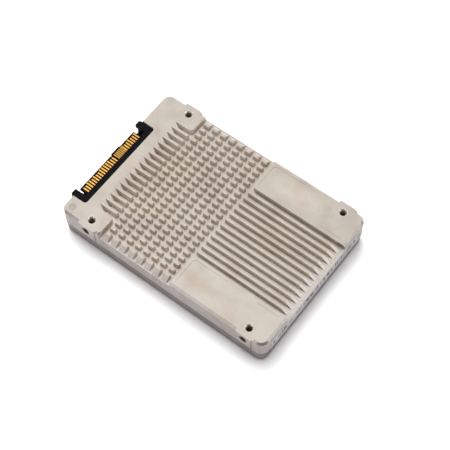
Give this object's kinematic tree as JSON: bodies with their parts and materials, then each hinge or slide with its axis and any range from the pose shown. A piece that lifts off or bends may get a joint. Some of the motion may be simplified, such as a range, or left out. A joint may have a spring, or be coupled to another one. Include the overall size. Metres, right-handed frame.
{
  "type": "solid-state drive",
  "caption": "Flat rectangular storage drive for a drive bay, with a finned and pinned cast housing, a cast cover, an edge plug and stacked circuit boards inside.",
  "frame": {"origin": "centre of the flat cover face that the drive lies on, midway between the rear face and the plug's front end", "axes": "+X across the drive, +Y along the drive towards the edge plug, +Z out of the finned face"},
  "size_m": [0.0698, 0.1004, 0.015],
  "materials": {
    "cast_metal": "as cast, satin",
    "cast_metal_cover": "as cast, satin",
    "plug_plastic": "moulded, satin",
    "gold_contact": "plated, polished",
    "circuit_board": "solder mask",
    "chip_package": "moulded, matte",
    "heat_pad": "soft, matte",
    "capacitor_case": "moulded, matte",
    "inductor_case": "pressed powder, matte",
    "board_link_plastic": "moulded, matte",
    "spacer_metal": "turned",
    "screw_steel": "plated",
    "label_paper": "matte"
  },
  "bodies": {
    "root": {"finned_housing": "cast_metal", "bottom_cover": "cast_metal_cover", "connector_shell": "plug_plastic", "power_contacts": "gold_contact", "signal_contacts": "gold_contact", "key_contacts": "gold_contact", "rear_side_contacts": "gold_contact", "main_board": "circuit_board", "second_board": "circuit_board", "controller_chip": "chip_package", "controller_pad": "heat_pad", "buffer_memory_chips": "chip_package", "flash_main_upper": "chip_package", "flash_main_lower": "chip_package", "flash_second_upper": "chip_package", "flash_second_lower": "chip_package", "upper_heat_pads": "heat_pad", "lower_heat_pads": "heat_pad", "hold_up_capacitors": "capacitor_case", "power_inductors": "inductor_case", "power_chip": "chip_package", "board_plug": "board_link_plastic", "board_socket": "board_link_plastic", "board_spacers": "spacer_metal", "board_screws": "screw_steel", "cover_screws": "screw_steel", "end_label": "label_paper"}
  },
  "joints": []
}
